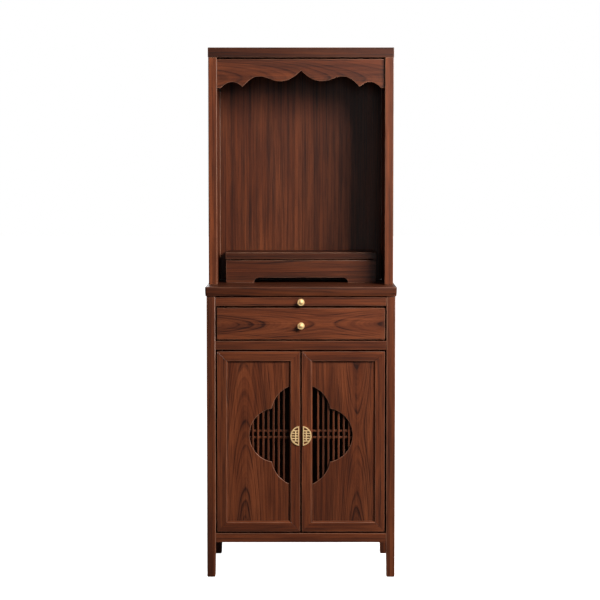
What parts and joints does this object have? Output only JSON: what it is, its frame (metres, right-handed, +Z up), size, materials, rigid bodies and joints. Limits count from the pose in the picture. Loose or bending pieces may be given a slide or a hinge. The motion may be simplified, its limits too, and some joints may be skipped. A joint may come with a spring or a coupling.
{
  "type": "household altar cabinet",
  "caption": "Tall narrow walnut altar cabinet: doored cupboard with drawer and pull-out shelf below an open niche with a scalloped valance.",
  "frame": {"origin": "on the floor, at the centre of the cabinet's width and of its depth with the knobs", "axes": "+Z up, -Y towards the person facing the doors, +X to that person's right"},
  "size_m": [0.68, 0.4434, 1.89],
  "materials": {
    "walnut": "satin, dark reddish-brown stain over open walnut grain",
    "carcase_wood": "matt, darker and plainer hidden boards",
    "brass": "satin pale gold"
  },
  "bodies": {
    "cabinet": {"back_panel": "carcase_wood", "bottom_board": "carcase_wood", "drawer_bearer_left": "carcase_wood", "drawer_bearer_right": "carcase_wood", "drawer_board": "carcase_wood", "leg_front_left": "walnut", "leg_front_right": "walnut", "leg_rear_left": "walnut", "leg_rear_right": "walnut", "niche_back": "walnut", "niche_post_front_left": "walnut", "niche_post_front_right": "walnut", "niche_post_rear_left": "walnut", "niche_post_rear_right": "walnut", "niche_side_left": "walnut", "niche_side_right": "walnut", "rail_back_bottom": "carcase_wood", "rail_back_top": "carcase_wood", "rail_front_bottom": "walnut", "rail_front_middle": "walnut", "rail_side_bottom_left": "walnut", "rail_side_bottom_right": "walnut", "rail_side_top_left": "walnut", "rail_side_top_right": "walnut", "shelf_runner_left": "carcase_wood", "shelf_runner_right": "carcase_wood", "side_panel_left": "walnut", "side_panel_right": "walnut", "step_front": "walnut", "step_side_left": "walnut", "step_side_right": "walnut", "step_top": "walnut", "top_board": "walnut", "valance": "walnut", "worktop": "walnut"},
    "shelf": {"shelf_board": "walnut", "shelf_front": "walnut", "shelf_knob": "brass"},
    "drawer": {"drawer_back": "carcase_wood", "drawer_bottom": "carcase_wood", "drawer_front": "walnut", "drawer_knob": "brass", "drawer_side_left": "carcase_wood", "drawer_side_right": "carcase_wood"},
    "door_left": {"door_left_lattice": "walnut", "door_left_panel": "walnut", "door_left_pull": "brass", "door_left_rail_bottom": "walnut", "door_left_rail_top": "walnut", "door_left_stile_inner": "walnut", "door_left_stile_outer": "walnut"},
    "door_right": {"door_right_lattice": "walnut", "door_right_panel": "walnut", "door_right_pull": "brass", "door_right_rail_bottom": "walnut", "door_right_rail_top": "walnut", "door_right_stile_inner": "walnut", "door_right_stile_outer": "walnut"}
  },
  "joints": [
    {"name": "shelf_slide", "type": "slide", "parent": "cabinet", "child": "shelf", "axis": [0, -1, 0], "range_m": [0, 0.26]},
    {"name": "drawer_slide", "type": "slide", "parent": "cabinet", "child": "drawer", "axis": [0, -1, 0], "range_m": [0, 0.28]},
    {"name": "door_left_hinge", "type": "hinge", "parent": "cabinet", "child": "door_left", "pos_m": [-0.286, -0.19035, 0.4865], "axis": [0, 0, -1], "range_deg": [0, 105]},
    {"name": "door_right_hinge", "type": "hinge", "parent": "cabinet", "child": "door_right", "pos_m": [0.286, -0.19035, 0.4865], "axis": [0, 0, 1], "range_deg": [0, 105]}
  ]
}
